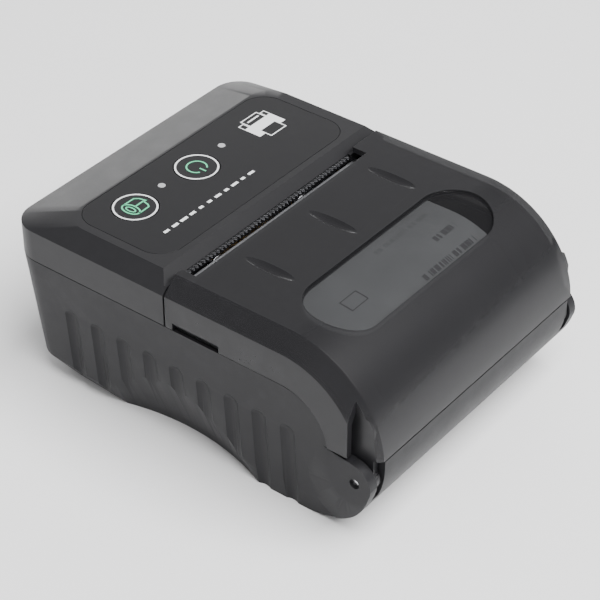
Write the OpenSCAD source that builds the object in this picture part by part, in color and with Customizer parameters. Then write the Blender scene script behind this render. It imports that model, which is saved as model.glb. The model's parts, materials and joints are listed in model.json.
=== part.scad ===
// Handheld receipt printer for 58 mm thermal paper.
// Frame: millimetres, +Z up, origin on the table under the middle of the case.
// The control panel is at -Y, the lid hinge at +Y, the drive gears at -X.

/* [Case] */
// Overall width of the case
body_w = 79; // [78:0.5:84]
// Overall length, panel end to hinge end
body_l = 101; // [100:0.5:106]
// Overall height to the flat top
body_h = 45.5; // [45:0.5:48]
// Wall thickness of the bottom case
wall = 2; // [1.8:0.1:2.2]
// Radius of the two front corners in plan
corner_r = 7; // [5:0.5:9]
// Inward lean of the lower walls, measured at the foot
draft = 2; // [1:0.1:2.4]
// Height of the seam between the bottom case and the top cover
seam_z = 33.8; // [33:0.1:34.5]

/* [Top cover] */
// Width and drop of the bevel along both sides
bevel = 3.8; // [3:0.1:4.2]
// Length of the shallow bevel above the panel end
front_bevel = 12.9; // [10:0.1:14]
// Where the top cover ends and the lid begins
split_y = -5; // [-6:0.1:-4.8]
// Thickness of the cover's roof
roof = 1.8; // [1.6:0.1:2]

/* [Control panel] */
// Width of the glossy panel overlay
panel_w = 66; // [60:0.5:67]
// Depth of the overlay, front to back
panel_d = 27; // [25:0.5:27.5]
// Corner radius of the overlay
panel_r = 6; // [4:0.5:8]
// Diameter of both button caps
button_d = 10.6; // [9:0.1:11]
// Travel of both buttons
button_travel = 0.4; // [0.2:0.05:0.45]

/* [Paper lid] */
// Radius of the lid's rounded rear
lid_r = 24; // [23.5:0.1:24.5]
// Thickness of the smoked plastic
lid_t = 1.4; // [1.2:0.1:1.5]
// Length of the sight window
window_l = 57.6; // [50:0.2:60]
// Width of the sight window
window_d = 17.1; // [14:0.1:18]
// Depth of the sight window's recess
window_depth = 0.5; // [0.3:0.05:0.6]
// Number of short grooves on the lid
lid_grooves = 3; // [1:1:3]

/* [Grip flutes] */
// Number of flutes in each side
flutes = 9; // [5:1:9]
// Distance from flute to flute
flute_pitch = 7.67; // [7:0.01:7.7]
// Depth of a flute
flute_depth = 0.7; // [0.4:0.05:0.9]

/* [Paper] */
// Width of the paper slot
slot_w = 59.6; // [58.5:0.1:59.8]
// Radius of the largest paper roll's bay
bay_r = 19; // [17:0.5:19]

/* [Drive] */
// Gear module
gear_m = 0.6; // [0.6:0.05:0.65]
// Teeth of the platen gear
platen_teeth = 15; // [15:1:15]
// Teeth of the idler gear
idler_teeth = 23; // [23:1:23]
// Teeth of the motor pinion
pinion_teeth = 9; // [9:1:9]
// Diameter of the platen roller's rubber
platen_d = 8; // [7:0.1:8]

/* [Hidden] */
$fn = 64;

half_w = body_w / 2;
front_y = -body_l / 2;
rear_y = body_l / 2;
eps = 0.01;
gap = 0.2;

// Bottom case
foot_z = 6;
foot_inset = 6;
drum_r = 20;
drum_c = [rear_y - 0.3 - drum_r, drum_r];
rear_foot_inset = 2.7;
fair_r = 15;
shelf_z = 22.1;
scoop_r = 65;
scoop_y = -5.5;
scoop_top = 16.5;
scoop_in = 6.3;
scoop_tilt = atan(scoop_in / scoop_top);
draft_angle = atan(draft / (seam_z - foot_z));

// Top cover
rim_z = body_h - bevel;
crown_y = front_y + front_bevel;
crown_r = 6.5;
ramp_top_y = -8;
ramp_end_y = -5.9;
ramp_z = body_h - 2.3;
ledge_y = -10.5;
ledge_z = 41.2;

// Lid
lid_c = [rear_y - lid_r, body_h - lid_r];
skirt_r = 12.2;
skirt_t = 1.5;
lid_fold = 0.6;
lid_front_y = split_y + 0.25;
lid_slot_y = -1.5;
lid_low_z = 22.8;
skirt_end_y = 43.8;
window_y = 28.6;
groove_y = 9.8;
groove_pitch = 21.9;
groove_l = 13.6;
groove_w = 2.8;
groove_depth = 0.6;

// Hinge
hinge = [45.8, 16.9];
knuckle_c = [44.7, 16.7];
knuckle_r = 5.2;
pin_r = 1.2;
lug_x = 35.2;
lug_t = 1.6;
lug_r = 3.6;
bar_half_w = 34.9;
knuckle_x = 37.1;
bar_round = 6.5;

// Slot and paper path
slot_x0 = -26.3;
slot_x1 = slot_x0 + slot_w;
slot_mid = (slot_x0 + slot_x1) / 2;

// Control panel
panel_c = [0.5, -23.3];
overlay_t = 0.5;
feed_c = [22.3, -27.9];
power_c = [1.75, -27.6];
lamp_c = [[12.2, -29], [-8.7, -29]];
lamp_r = 0.9;
button_r = button_d / 2;

// Print mechanism
platen_c = [2.2, 38.6];
platen_r = platen_d / 2;
platen_x0 = -25.8;
platen_x1 = 32.8;
shaft_r = 1.5;
bushing_r = 3;
plate_x0 = -28.6;
plate_x1 = 34.4;
plate_t = 1.2;
arm_x0 = -30.6;
arm_x1 = 36;
gear_x = -34;
gear_w = 2.8;
mesh_slack = 0.06;
platen_pr = gear_m * platen_teeth / 2;
idler_pr = gear_m * idler_teeth / 2;
pinion_pr = gear_m * pinion_teeth / 2;
// The lid lifts the platen along this angle, so the idler sits straight below it.
lift_angle = atan2(hinge[0] - platen_c[0], platen_c[1] - hinge[1]);
idler_angle = lift_angle + 180;
idler_c = platen_c + (platen_pr + idler_pr + mesh_slack) * [cos(idler_angle), sin(idler_angle)];
pinion_angle = 205;
pinion_c = idler_c + (idler_pr + pinion_pr + mesh_slack) * [cos(pinion_angle), sin(pinion_angle)];
idler_tooth = lift_angle + 180 / idler_teeth;
pinion_phase = (pinion_angle - idler_tooth) * idler_teeth / 360;
pinion_frac = pinion_phase - floor(pinion_phase);
motor_r = 7.5;
motor_x0 = -26.6;
motor_l = 18;
head_y = platen_c[0] - platen_r - 0.05;
head_t = 1;
sink_t = 2;
head_z0 = 33.5;
head_z1 = 41.6;
sink_z0 = 30.2;
head_pivot = [head_y - head_t - sink_t / 2, 31.4];
spring_z = 37;
spring_y0 = -9.6;
spring_gap = 0.5;
wall_y = -10.9;

// Electronics
board_z = 36;
board_t = 1.6;
board_y0 = -45;
board_y1 = -21.5;
board_half_w = 34;
cell_r = 7.1;
cell_l = 50;
cell_z = 9.5;
cell_y = [-38.4, -24];
case_screw_at = [[29, -39.5], [-29, -39.5], [30.6, -23.4], [-30.6, -23.4]];
board_screw_at = [[31.2, -33], [-29, -32], [0, -42.5]];
boss_r = 2.6;
boss_z = 28;
board_post_r = 1.9;
post_front_top = rim_z + 1.2;
post_rear_top = body_h - 1.1;
plunger_z = 42.05;
key_foot_z = plunger_z + button_travel + 0.05;

// ---------- helpers ----------

// Extrudes a side view, drawn as [y, z], from x0 to x1.
module along_x(x0, x1) {
    translate([x0, 0, 0])
        rotate([90, 0, 90])
            linear_extrude(x1 - x0)
                children();
}

// A round bar along X, centred on c = [y, z].
module rod_x(c, r, x0, x1) {
    translate([x0, c[0], c[1]])
        rotate([0, 90, 0])
            cylinder(r = r, h = x1 - x0);
}

// A box from corner a to corner b.
module block(a, b) {
    translate(a)
        cube(b - a);
}

module both_sides() {
    children();
    mirror([1, 0, 0])
        children();
}

// A rectangle with round corners, centred on the origin.
module round_rect(w, d, r) {
    square([w - 2 * r, d], center = true);
    square([w, d - 2 * r], center = true);
    for (sx = [-1, 1], sy = [-1, 1])
        translate([sx * (w / 2 - r), sy * (d / 2 - r)])
            circle(r = r);
}

// ---------- bottom case ----------

// One level of the case: round front corners, then straight back past the hinge.
module case_slice(z, h, inset, rear_inset, t) {
    for (s = [-1, 1])
        translate([s * (half_w - inset - corner_r), front_y + inset + corner_r, z])
            cylinder(r = corner_r - t, h = h);
    block([rear_inset + t - half_w, 20, z], [half_w - rear_inset - t, 60, z + h]);
}

// The leaning walls, on the outside or on the inside when t is the wall thickness.
module case_form(t) {
    hull($fn = 32) {
        case_slice(seam_z, 1, 0, 0, t);
        case_slice(foot_z, 0.1, draft, draft, t);
        case_slice(t, 0.1, foot_inset, rear_foot_inset, t);
    }
}

// Side view of the round rear and flat floor up to the shelf, shrunk by t.
module drum_side(t) {
    intersection() {
        union() {
            translate([-60, t - 0.01])
                square([60 + drum_c[0], shelf_z]);
            translate(drum_c)
                circle(r = drum_r - t);
            translate(drum_c)
                square([drum_r - t, drum_r]);
        }
        translate([-60, -5])
            square([120, 5 + shelf_z]);
    }
}

// Side view of what the bottom case fills below the cover, the lid skirt and the shelf.
module case_side() {
    translate([-60, -5])
        square([60 + lid_c[0], 5 + seam_z - gap]);
    translate([lid_c[0], lid_c[1] + gap])
        circle(r = skirt_r - 0.35);
    drum_side(0);
}

// The leaning finger scoop along the foot of each side.
module scoop(grow) {
    both_sides()
        translate([half_w - 1.2 - grow, scoop_y, scoop_top])
            rotate([0, scoop_tilt, 0])
                translate([scoop_r, 0, -40])
                    cylinder(r = scoop_r, h = 80, $fn = 128);
}

module flute(y, top) {
    r = 3.2;
    translate([half_w - tan(draft_angle) * (seam_z - top) + r - flute_depth, y, top]) {
        rotate([0, draft_angle, 0])
            translate([0, 0, -40])
                cylinder(r = r, h = 40);
        sphere(r = r);
    }
}

module flute_row() {
    first_y = 27.5 - (flutes - 1) * flute_pitch;
    both_sides()
        for (i = [0 : flutes - 1])
            flute(first_y + i * flute_pitch, 21.6 - 1.1 * i / flutes);
}

module hinge_slot() {
    // The space between the bar and the knuckle where the lid's lug turns.
    block([bar_half_w, 39, 12.2], [knuckle_x, 60, 40]);
    // Above and behind the knuckle's round top.
    block([bar_half_w, knuckle_c[0], knuckle_c[1]], [half_w + 1, 60, 40]);
}

module bosses() {
    for (p = case_screw_at)
        translate([p[0], p[1], 0])
            cylinder(r = boss_r, h = boss_z);
    // Shelf that carries the mechanism's right plate.
    block([33.8, -8, 0], [36.4, 0, 18]);
}

// Knuckle around the hinge pin, faired into the side wall.
module knuckle() {
    rod_x(knuckle_c, knuckle_r, knuckle_x, half_w);
    intersection() {
        translate([half_w - draft, knuckle_c[0], knuckle_c[1]])
            rotate([0, 90, 0])
                cylinder(r1 = fair_r, r2 = knuckle_r, h = draft);
        along_x(30, 50)
            difference() {
                drum_side(0);
                translate(knuckle_c)
                    square([20, 20]);
            }
    }
}

module case_shell() {
    difference() {
        intersection() {
            case_form(0);
            along_x(-half_w - 1, half_w + 1)
                case_side();
        }
        difference() {
            intersection() {
                case_form(wall);
                along_x(-half_w, half_w) {
                    drum_side(wall);
                    translate([-60, shelf_z - 1])
                        square([60 + drum_c[0] + 15, 20]);
                }
            }
            scoop(wall);
            bosses();
        }
        both_sides()
            hinge_slot();
        scoop(0);
    }
}

// The bar behind the paper bay, which the lid closes down on.
module rear_bar() {
    intersection() {
        union() {
            rod_x(drum_c, drum_r, -bar_half_w, bar_half_w);
            block([-bar_half_w, 30, drum_c[1]], [bar_half_w, drum_c[0] + drum_r, 30]);
        }
        block([-bar_half_w, 46.6, 12], [bar_half_w, 60, 22.4]);
        union() {
            rod_x(hinge, bar_round, -bar_half_w, bar_half_w);
            block([-bar_half_w, 40, 5], [bar_half_w, 60, 19]);
        }
    }
}

module bottom_case() {
    color([0.13, 0.13, 0.14])
        difference() {
            union() {
                case_shell();
                rear_bar();
                both_sides()
                    knuckle();
            }
            flute_row();
            both_sides()
                rod_x(hinge, pin_r + 0.02, 30, half_w + 1);
            for (p = case_screw_at)
                translate([p[0], p[1], 0]) {
                    translate([0, 0, -1])
                        cylinder(r = 2.2, h = 2.6);
                    translate([0, 0, -1])
                        cylinder(r = 1.1, h = 60);
                }
        }
}

// ---------- top cover ----------

// Outside of the cover, or its inside when t is the wall thickness.
module crown(t) {
    hull() {
        for (s = [-1, 1]) {
            translate([s * (half_w - corner_r), front_y + corner_r, seam_z - 2])
                cylinder(r = corner_r - t, h = rim_z - seam_z + 2 - t / 2);
            translate([s * (half_w - bevel - crown_r), crown_y + crown_r, body_h - 1 - t])
                cylinder(r = crown_r - t / 2, h = 1);
        }
        block([t - half_w, -12, seam_z - 2], [half_w - t, 5, rim_z - t / 2]);
        block([bevel + t / 2 - half_w, -12, body_h - 1 - t], [half_w - bevel - t / 2, 5, body_h - t]);
    }
}

module panel_shape(grow) {
    translate(panel_c)
        round_rect(panel_w + 2 * grow, panel_d + 2 * grow, panel_r + grow);
}

module ramp_cut() {
    along_x(-half_w - 1, half_w + 1)
        polygon([[ramp_top_y, body_h + eps], [ramp_end_y, ramp_z], [split_y + 1, ramp_z],
            [split_y + 1, body_h + 1], [ramp_top_y, body_h + 1]]);
}

// Posts under the front bevel are shorter, because the roof slopes down there.
function post_top(y) = y < crown_y ? post_front_top : post_rear_top;

module cover_posts() {
    for (p = case_screw_at)
        translate([p[0], p[1], boss_z])
            cylinder(r = boss_r, h = post_top(p[1]) - boss_z);
    for (p = board_screw_at)
        translate([p[0], p[1], board_z + board_t])
            cylinder(r = board_post_r, h = post_top(p[1]) - board_z - board_t);
}

module top_cover() {
    color([0.14, 0.14, 0.15])
        difference() {
            union() {
                difference() {
                    crown(0);
                    difference() {
                        crown(roof);
                        block([-50, ledge_y, ledge_z], [50, 10, 60]);
                    }
                    block([-50, -60, 0], [50, 10, seam_z]);
                }
                cover_posts();
            }
            block([-50, split_y - gap, 0], [50, 20, 60]);
            block([slot_x0 - 0.2, ramp_end_y, 0], [slot_x1 + 0.2, 20, 60]);
            ramp_cut();
            // Slit that holds the tear bar.
            block([slot_x0 - 0.2, -8.5, ramp_z - 0.85], [slot_x1 + 0.2, 0, ramp_z - 0.15]);
            translate([0, 0, body_h - overlay_t])
                linear_extrude(2)
                    panel_shape(0.12);
            for (c = [feed_c, power_c])
                translate([c[0], c[1], 40])
                    cylinder(r = button_r + 0.15, h = 10);
            for (c = lamp_c)
                translate([c[0], c[1], 40])
                    cylinder(r = lamp_r + 0.05, h = 10);
            for (p = case_screw_at)
                translate([p[0], p[1], 20])
                    cylinder(r = 1.02, h = 15);
            for (p = board_screw_at)
                translate([p[0], p[1], 30])
                    cylinder(r = 0.82, h = 11.5);
            // Opening for the charging socket.
            block([-half_w - 1, -35, 37.5], [-half_w + 4, -25, 41.1]);
        }
}

module panel_overlay() {
    color([0.07, 0.07, 0.08])
        translate([0, 0, body_h - overlay_t])
            difference() {
                linear_extrude(overlay_t)
                    panel_shape(0);
                for (c = [feed_c, power_c])
                    translate([c[0], c[1], -1])
                        cylinder(r = button_r + 0.15, h = 3);
                for (c = lamp_c)
                    translate([c[0], c[1], -1])
                        cylinder(r = lamp_r + 0.05, h = 3);
            }
}

module button_cap(c) {
    translate([c[0], c[1], 0]) {
        translate([0, 0, body_h - roof - 0.7])
            cylinder(r = button_r, h = roof + 0.7);
        translate([0, 0, body_h - roof - 0.7])
            cylinder(r = button_r + 0.9, h = 0.6);
        translate([0, 0, key_foot_z])
            cylinder(r = 1.6, h = 1);
    }
}

module feed_button() {
    color([0.06, 0.06, 0.07])
        button_cap(feed_c);
}

module power_button() {
    color([0.06, 0.06, 0.07])
        button_cap(power_c);
}

module light_pipes() {
    color([0.85, 0.85, 0.85])
        for (c = lamp_c)
            translate([c[0], c[1], board_z + board_t + 1.2])
                cylinder(r = lamp_r, h = body_h - board_z - board_t - 1.2);
}

module tear_bar() {
    teeth = 50;
    pitch = slot_w / teeth;
    tip_y = ramp_end_y + 0.9;
    color([0.2, 0.2, 0.21])
        translate([0, 0, ramp_z - 0.8])
            linear_extrude(0.6)
                polygon(concat(
                    [[slot_x1, -8.4], [slot_x0, -8.4]],
                    [for (i = [0 : 2 * teeth])
                        [slot_x0 + i * pitch / 2, i % 2 == 0 ? ramp_end_y : tip_y]]));
}

// ---------- paper lid ----------

// Half section of the lid, drawn as [x, height above the rounding's centre].
module lid_section() {
    rim = lid_r - bevel;
    polygon([[half_w, skirt_r], [half_w, rim], [half_w - bevel, lid_r],
        [bevel - half_w, lid_r], [-half_w, rim], [-half_w, skirt_r],
        [skirt_t - half_w, skirt_r], [skirt_t - half_w, rim - lid_fold],
        [bevel + lid_fold - half_w, lid_r - lid_t], [half_w - bevel - lid_fold, lid_r - lid_t],
        [half_w - skirt_t, rim - lid_fold], [half_w - skirt_t, skirt_r]]);
}

// Straight front stretch plus a quarter turn for the rear.
module lid_sweep() {
    translate([0, lid_c[0], lid_c[1]])
        rotate([90, 0, 0])
            linear_extrude(lid_c[0] - lid_front_y)
                lid_section();
    intersection() {
        translate([0, lid_c[0], lid_c[1]])
            rotate([0, 90, 0])
                rotate_extrude($fn = 128)
                    mirror([1, -1, 0])
                        lid_section();
        block([-50, lid_c[0], lid_low_z], [50, 60, 60]);
    }
}

module lid_lug() {
    intersection() {
        along_x(lug_x, lug_x + lug_t)
            union() {
                translate(hinge)
                    circle(r = lug_r);
                translate([hinge[0] - 3.2, hinge[1]])
                    square([6, 16]);
            }
        rod_x(lid_c, lid_r - 0.3, 0, 60);
    }
}

module window_area(grow) {
    translate([slot_mid - 2.9, window_y])
        round_rect(window_l + 2 * grow, window_d + 2 * grow, window_d / 2 + grow - eps);
}

// The outer skin of the lid down to a given depth.
module lid_skin(depth) {
    difference() {
        block([-34, -4, 30], [34, 60, 60]);
        block([-40, -10, 20], [40, lid_c[0], body_h - depth]);
        rod_x(lid_c, lid_r - depth, -40, 40);
    }
}

module lid_groove(x) {
    r = (groove_w * groove_w / 4 + groove_depth * groove_depth) / (2 * groove_depth);
    big_r = (groove_l * groove_l / 4 + groove_depth * groove_depth) / (2 * groove_depth);
    translate([x, groove_y, body_h + big_r - groove_depth])
        rotate([0, 90, 0])
            rotate_extrude($fn = 128)
                translate([big_r - r, 0])
                    circle(r = r, $fn = 48);
}

module paper_lid() {
    color([0.16, 0.16, 0.17])
        difference() {
            union() {
                lid_sweep();
                both_sides()
                    lid_lug();
            }
            // Front edge along the paper slot, with a small chamfer.
            block([slot_x0 - 0.3, -20, 30], [slot_x1 + 0.3, lid_slot_y, 60]);
            along_x(slot_x0 - 0.3, slot_x1 + 0.3)
                polygon([[lid_slot_y - 1, body_h - 1.8], [lid_slot_y + 1, body_h + 0.2],
                    [lid_slot_y - 1, body_h + 0.2]]);
            // The skirt ends short of the hinge.
            both_sides()
                block([lug_x + lug_t, skirt_end_y, 0], [50, 60, 60]);
            both_sides()
                rod_x(hinge, pin_r + 0.06, 30, 50);
            // Finger holds under both skirts.
            both_sides()
                block([half_w - 1, -2.8, 30], [half_w + 1, 9.9, seam_z + 1.7]);
            intersection() {
                linear_extrude(60)
                    window_area(0);
                lid_skin(window_depth);
            }
            for (i = [0 : lid_grooves - 1])
                lid_groove((i - (lid_grooves - 1) / 2) * groove_pitch);
        }
}

module info_label() {
    color([0.62, 0.63, 0.65])
        intersection() {
            translate([4.4, 32.3, 27])
                linear_extrude(body_h - 27)
                    round_rect(51.2, 27.4, 1);
            difference() {
                union() {
                    rod_x(lid_c, lid_r - lid_t - 0.02, -40, 40);
                    block([-40, -5, 35], [40, lid_c[0], body_h - lid_t - 0.02]);
                }
                rod_x(lid_c, lid_r - lid_t - 0.22, -50, 50);
                block([-50, -10, 0], [50, lid_c[0], body_h - lid_t - 0.22]);
            }
        }
}

// The space under the lid's roof and bevels, near the slot.
module under_lid() {
    inner_w = half_w - skirt_t - 0.05;
    inner_rim = lid_r - bevel - lid_fold;
    roof_w = half_w - bevel - lid_fold - 0.05;
    roof_r = lid_r - lid_t - 0.02;
    translate([0, 12, lid_c[1]])
        rotate([90, 0, 0])
            linear_extrude(16)
                polygon([[inner_w, 0], [inner_w, inner_rim], [roof_w, roof_r],
                    [-roof_w, roof_r], [-inner_w, inner_rim], [-inner_w, 0]]);
}

module platen_carrier() {
    color([0.1, 0.1, 0.11])
        difference() {
            intersection() {
                union() {
                    block([arm_x0, -0.9, 41.9], [arm_x1 + plate_t, 8, body_h]);
                    for (x = [arm_x0, arm_x1])
                        along_x(x, x + plate_t)
                            union() {
                                translate(platen_c)
                                    circle(r = 4.2);
                                translate([platen_c[0] - 2.6, platen_c[1]])
                                    square([6.8, 4.6]);
                            }
                }
                under_lid();
            }
            // Room for the roller below the roof plate.
            block([platen_x0 - 0.6, -2, 41], [platen_x1 + 0.6, 10, 43]);
            rod_x(platen_c, bushing_r + 0.01, -50, 50);
        }
}

// ---------- hinge pins ----------

module hinge_pins() {
    color([0.5, 0.5, 0.52])
        both_sides()
            rod_x(hinge, pin_r, lug_x, half_w - 0.8);
}

// ---------- print mechanism ----------

module plate_outline(front) {
    difference() {
        union() {
            translate([front, 22])
                square([5.8 - front, 19]);
            children();
        }
        // Notch that the platen's bushing drops into.
        translate(platen_c) {
            circle(r = bushing_r + 0.15);
            rotate(lift_angle)
                translate([0, -bushing_r - 0.4])
                    square([20, 2 * bushing_r + 0.8]);
        }
        translate(head_pivot)
            circle(r = 1.05);
    }
}

module mech_frame() {
    color([0.45, 0.46, 0.48])
        difference() {
            union() {
                along_x(plate_x0, plate_x0 + plate_t)
                    plate_outline(-13)
                        translate([-20.5, wall + gap])
                            square([17, 31]);
                along_x(plate_x1, plate_x1 + plate_t)
                    plate_outline(-13)
                        translate([-8, 18])
                            square([8, 10]);
                block([plate_x0, wall_y, 33.4], [plate_x1 + plate_t, wall_y + plate_t, 40.5]);
                block([plate_x0, 0, 26], [plate_x1 + plate_t, 5, 27.4]);
                // Cups for the two head springs.
                for (x = [slot_mid - 15, slot_mid + 15])
                    translate([x, wall_y + plate_t, spring_z])
                        rotate([-90, 0, 0])
                            cylinder(r = 1.5, h = 0.9);
            }
            rod_x(idler_c, 1, -40, -20);
            rod_x(pinion_c, 3.4, -40, -20);
            for (s = [-1, 1])
                rod_x(pinion_c + s * [5.4, 5.4], 0.8, -40, -20);
        }
}

// Coil spring along Y, as a swept wire.
module coil(c, y0, y1, r, wire, turns) {
    sides = 6;
    steps = 16;
    rings = turns * steps;
    points = [for (i = [0 : rings])
        let (a = 360 * i / steps, y = y0 + wire + (y1 - y0 - 2 * wire) * i / rings)
        for (k = [0 : sides - 1])
            let (b = 360 * k / sides, q = r + wire * cos(b))
            [c[0] + q * cos(a), y + wire * sin(b), c[1] + q * sin(a)]];
    faces = concat(
        [[for (k = [0 : sides - 1]) k]],
        [[for (k = [sides - 1 : -1 : 0]) rings * sides + k]],
        [for (i = [0 : rings - 1], k = [0 : sides - 1])
            let (a = i * sides + k, b = i * sides + (k + 1) % sides)
            [a, a + sides, b + sides]],
        [for (i = [0 : rings - 1], k = [0 : sides - 1])
            let (a = i * sides + k, b = i * sides + (k + 1) % sides)
            [a, b + sides, b]]);
    polyhedron(points, faces, convexity = 4);
}

module head_springs() {
    color([0.7, 0.7, 0.72])
        for (x = [slot_mid - 15, slot_mid + 15])
            coil([x, spring_z], spring_y0, head_y - head_t - sink_t - spring_gap, 2, 0.25, 5);
}

module print_head() {
    color([0.85, 0.83, 0.78])
        difference() {
            block([slot_x0 + 0.4, head_y - head_t, head_z0], [slot_x1 - 0.4, head_y, head_z1]);
            // Chamfer that leads the paper in.
            translate([slot_mid, head_y, head_z0])
                rotate([45, 0, 0])
                    cube([70, 0.8, 0.8], center = true);
        }
}

module head_heat_sink() {
    y0 = head_y - head_t - sink_t;
    color([0.6, 0.61, 0.63]) {
        difference() {
            block([slot_x0 - 0.2, y0, sink_z0], [slot_x1 + 0.2, y0 + sink_t, head_z1]);
            // Three shallow cooling channels.
            for (i = [0 : 2])
                block([slot_x0 + 4, y0 - 1, 38.9 + i * 0.9], [slot_x1 - 4, y0 + 0.5, 39.3 + i * 0.9]);
        }
        rod_x(head_pivot, 0.98, plate_x0 + 0.1, plate_x1 + plate_t - 0.1);
    }
}

module stepper_motor() {
    color([0.68, 0.68, 0.7])
        difference() {
            union() {
                rod_x(pinion_c, motor_r, motor_x0, motor_x0 + motor_l);
                rod_x(pinion_c, 3.2, motor_x0 - 1.6, motor_x0);
                along_x(motor_x0 - 0.8, motor_x0)
                    translate(pinion_c)
                        rotate(45)
                            square([19, 5], center = true);
            }
            for (s = [-1, 1])
                rod_x(pinion_c + s * [5.4, 5.4], 0.8, -40, -24);
            rod_x(pinion_c, 0.8, -40, motor_x0 + 10);
        }
}

module motor_shaft() {
    color([0.75, 0.75, 0.77])
        rod_x(pinion_c, 0.75, gear_x - 0.2, motor_x0 + 9.5);
}

// Straight-sided gear outline: root, flank, tip and flank for every tooth.
module gear(teeth, bore, phase) {
    r = gear_m * teeth / 2;
    step = 360 / teeth;
    half = step * 0.22;
    difference() {
        polygon([for (i = [0 : teeth - 1])
            for (p = [[-1.55, -1.15], [-0.6, 0.75], [0.6, 0.75], [1.55, -1.15]])
                let (a = phase + i * step + p[0] * half, q = r + p[1] * gear_m)
                [q * cos(a), q * sin(a)]]);
        circle(r = bore);
    }
}

module gear_at(c, teeth, bore, phase) {
    along_x(gear_x, gear_x + gear_w)
        translate(c)
            gear(teeth, bore, phase);
}

module motor_pinion() {
    color([0.8, 0.68, 0.35])
        gear_at(pinion_c, pinion_teeth, 0.75,
            pinion_angle + 180 + (pinion_frac + 0.5) * 360 / pinion_teeth);
}

module idler_gear() {
    color([0.9, 0.9, 0.88])
        gear_at(idler_c, idler_teeth, 1.05, idler_tooth);
}

module idler_axle() {
    color([0.7, 0.7, 0.72])
        rod_x(idler_c, 1, gear_x - 0.3, plate_x0 + plate_t);
}

module platen_gear() {
    color([0.9, 0.9, 0.88])
        gear_at(platen_c, platen_teeth, shaft_r, lift_angle + 180);
}

module platen_shaft() {
    color([0.72, 0.72, 0.74])
        rod_x(platen_c, shaft_r, gear_x - 0.4, arm_x1 + plate_t + 0.4);
}

module platen_roller() {
    color([0.08, 0.08, 0.08])
        difference() {
            rod_x(platen_c, platen_r, platen_x0, platen_x1);
            rod_x(platen_c, shaft_r, -50, 50);
        }
}

module platen_bushings() {
    color([0.88, 0.87, 0.82])
        for (x = [[arm_x0, plate_x0 + plate_t + 0.2], [plate_x1 - 0.2, arm_x1 + plate_t]])
            difference() {
                rod_x(platen_c, bushing_r, x[0], x[1]);
                rod_x(platen_c, shaft_r + 0.05, -50, 50);
            }
}

module paper_sensor() {
    color([0.05, 0.05, 0.05])
        difference() {
            block([slot_mid - 2.5, 0.6, 27.4], [slot_mid + 2.5, 4, 30]);
            for (dx = [-1.2, 1.2])
                translate([slot_mid + dx, 2.3, 29.4])
                    cylinder(r = 0.7, h = 2);
        }
}

module board_cutouts() {
    for (p = case_screw_at)
        translate([p[0], p[1], 0])
            cylinder(r = boss_r + 0.4, h = 60);
    for (p = board_screw_at)
        translate([p[0], p[1], 0])
            cylinder(r = 1.1, h = 60);
}

module main_board() {
    color([0.1, 0.36, 0.2])
        difference() {
            block([-board_half_w, board_y0, board_z], [board_half_w, board_y1, board_z + board_t]);
            board_cutouts();
        }
}

module key_switches() {
    z = board_z + board_t;
    color([0.3, 0.3, 0.32])
        for (c = [feed_c, power_c]) {
            block([c[0] - 3, c[1] - 3, z], [c[0] + 3, c[1] + 3, z + 3.4]);
            translate([c[0], c[1], z + 3.4 - eps])
                cylinder(r = 1.5, h = plunger_z - z - 3.4);
        }
}

module indicator_leds() {
    z = board_z + board_t;
    color([0.9, 0.92, 0.8])
        for (c = lamp_c)
            block([c[0] - 0.8, c[1] - 0.5, z], [c[0] + 0.8, c[1] + 0.5, z + 0.9]);
}

// Round-ended shape of the charging socket's shell, along X.
module socket_shape(r) {
    hw = 4.4 - 1.55;
    translate([-30 - hw, board_z + board_t + 1.6])
        circle(r = r);
    translate([-30 + hw, board_z + board_t + 1.6])
        circle(r = r);
    translate([-30 - hw, board_z + board_t + 1.6 - r])
        square([2 * hw, 2 * r]);
}

module charge_socket() {
    color([0.75, 0.75, 0.77]) {
        difference() {
            along_x(-half_w + 0.6, -board_half_w + 1.5)
                socket_shape(1.58);
            along_x(-half_w, -board_half_w)
                socket_shape(1.25);
        }
        block([-half_w + 1.2, -32.4, board_z + board_t + 1.25],
            [-board_half_w + 1, -27.6, board_z + board_t + 1.95]);
    }
}

module flex_socket() {
    color([0.85, 0.84, 0.8])
        difference() {
            block([slot_mid - 12, -26, board_z - 2], [slot_mid + 12, -22, board_z]);
            block([slot_mid - 10.4, -24.5, board_z - 1.5], [slot_mid + 10.4, -21, board_z - 0.9]);
        }
}

module head_flex() {
    // Route seen from the side: socket, dip under the spring wall, foot of the head.
    route = [[-24.3, 34.7], [-18, 34.6], [-14, 33], [-12, 31.6], [-7.6, 31], [-6, 31.6]];
    n = len(route);
    color([0.75, 0.5, 0.2])
        along_x(slot_mid - 10, slot_mid + 10)
            polygon(concat(route, [for (i = [n - 1 : -1 : 0]) route[i] + [0, 0.3]]));
}

module battery_pack() {
    color([0.15, 0.3, 0.55]) {
        for (y = cell_y)
            rod_x([y, cell_z], cell_r, -cell_l / 2, cell_l / 2);
        block([-cell_l / 2, cell_y[0], cell_z - 5.9], [cell_l / 2, cell_y[1], cell_z + 5.9]);
    }
}

module paper_bay() {
    t = 1;
    color([0.12, 0.12, 0.13])
        difference() {
            union() {
                rod_x([lid_c[0], 22], bay_r + t, slot_x0 - t, slot_x1 + t);
                block([slot_x0 - t, lid_c[0] - bay_r - t, 22], [slot_x1 + t, lid_c[0], 33]);
            }
            rod_x([lid_c[0], 22], bay_r, slot_x0, slot_x1);
            block([slot_x0, lid_c[0] - bay_r, 22], [slot_x1, lid_c[0] + 1, 60]);
            // The rear half stops level with the bar.
            block([-50, lid_c[0], 22], [50, 60, 60]);
            // The front wall leaves the paper's way to the head.
            block([-50, 0, 33], [50, 40, 60]);
        }
}

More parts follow.
